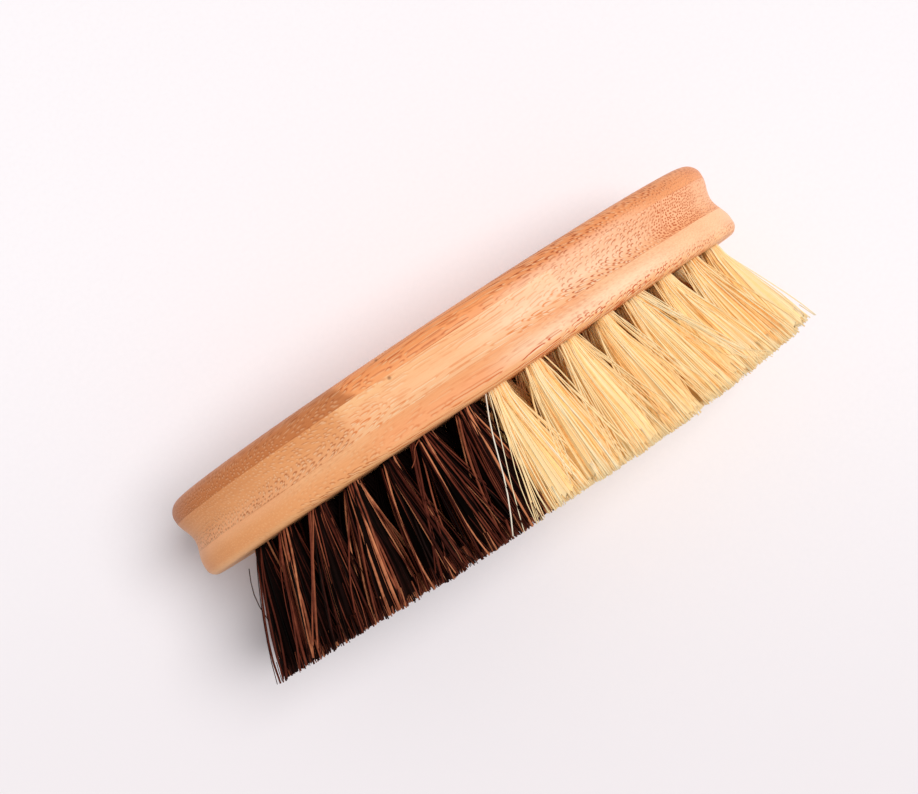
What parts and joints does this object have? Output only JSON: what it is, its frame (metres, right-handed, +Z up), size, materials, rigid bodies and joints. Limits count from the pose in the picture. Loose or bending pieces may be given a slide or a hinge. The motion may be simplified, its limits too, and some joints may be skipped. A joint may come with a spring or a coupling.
{
  "type": "beard brush",
  "caption": "Oval handle-free brush block of laminated bamboo with a finger groove, filled half with dark and half with pale plant-fibre tufts for grooming or scrubbing.",
  "frame": {"origin": "on the surface that the brush lies on, under the middle of its bounding box", "axes": "+X along the block towards the pale fibre, +Y out of the flat back, away from the fibre ends, +Z up, from one long side to the other"},
  "size_m": [0.1369, 0.0448, 0.05],
  "materials": {
    "bamboo_back": "satin",
    "bamboo_middle": "satin",
    "bamboo_face": "satin",
    "pale_fibre": "matte",
    "dark_fibre": "satin",
    "anchor_wire": "satin"
  },
  "bodies": {
    "root": {"back_layer": "bamboo_back", "dark_centre_tufts": "dark_fibre", "dark_inner_tuft_01": "dark_fibre", "dark_inner_tuft_02": "dark_fibre", "dark_inner_tuft_03": "dark_fibre", "dark_inner_tuft_04": "dark_fibre", "dark_inner_tuft_05": "dark_fibre", "dark_inner_tuft_06": "dark_fibre", "dark_inner_tuft_07": "dark_fibre", "dark_inner_tuft_08": "dark_fibre", "dark_inner_tuft_09": "dark_fibre", "dark_inner_tuft_10": "dark_fibre", "dark_inner_tuft_11": "dark_fibre", "dark_outer_tuft_01": "dark_fibre", "dark_outer_tuft_02": "dark_fibre", "dark_outer_tuft_03": "dark_fibre", "dark_outer_tuft_04": "dark_fibre", "dark_outer_tuft_05": "dark_fibre", "dark_outer_tuft_06": "dark_fibre", "dark_outer_tuft_07": "dark_fibre", "dark_outer_tuft_08": "dark_fibre", "dark_outer_tuft_09": "dark_fibre", "dark_outer_tuft_10": "dark_fibre", "dark_outer_tuft_11": "dark_fibre", "dark_outer_tuft_12": "dark_fibre", "dark_outer_tuft_13": "dark_fibre", "dark_outer_tuft_14": "dark_fibre", "face_layer": "bamboo_face", "middle_layer": "bamboo_middle", "pale_centre_tufts": "pale_fibre", "pale_inner_tuft_01": "pale_fibre", "pale_inner_tuft_02": "pale_fibre", "pale_inner_tuft_03": "pale_fibre", "pale_inner_tuft_04": "pale_fibre", "pale_inner_tuft_05": "pale_fibre", "pale_inner_tuft_06": "pale_fibre", "pale_inner_tuft_07": "pale_fibre", "pale_inner_tuft_08": "pale_fibre", "pale_inner_tuft_09": "pale_fibre", "pale_inner_tuft_10": "pale_fibre", "pale_inner_tuft_11": "pale_fibre", "pale_inner_tuft_12": "pale_fibre", "pale_inner_tuft_13": "pale_fibre", "pale_outer_tuft_01": "pale_fibre", "pale_outer_tuft_02": "pale_fibre", "pale_outer_tuft_03": "pale_fibre", "pale_outer_tuft_04": "pale_fibre", "pale_outer_tuft_05": "pale_fibre", "pale_outer_tuft_06": "pale_fibre", "pale_outer_tuft_07": "pale_fibre", "pale_outer_tuft_08": "pale_fibre", "pale_outer_tuft_09": "pale_fibre", "pale_outer_tuft_10": "pale_fibre", "pale_outer_tuft_11": "pale_fibre", "pale_outer_tuft_12": "pale_fibre", "pale_outer_tuft_13": "pale_fibre", "pale_outer_tuft_14": "pale_fibre", "pale_outer_tuft_15": "pale_fibre", "pale_outer_tuft_16": "pale_fibre", "wire_anchors": "anchor_wire"}
  },
  "joints": []
}
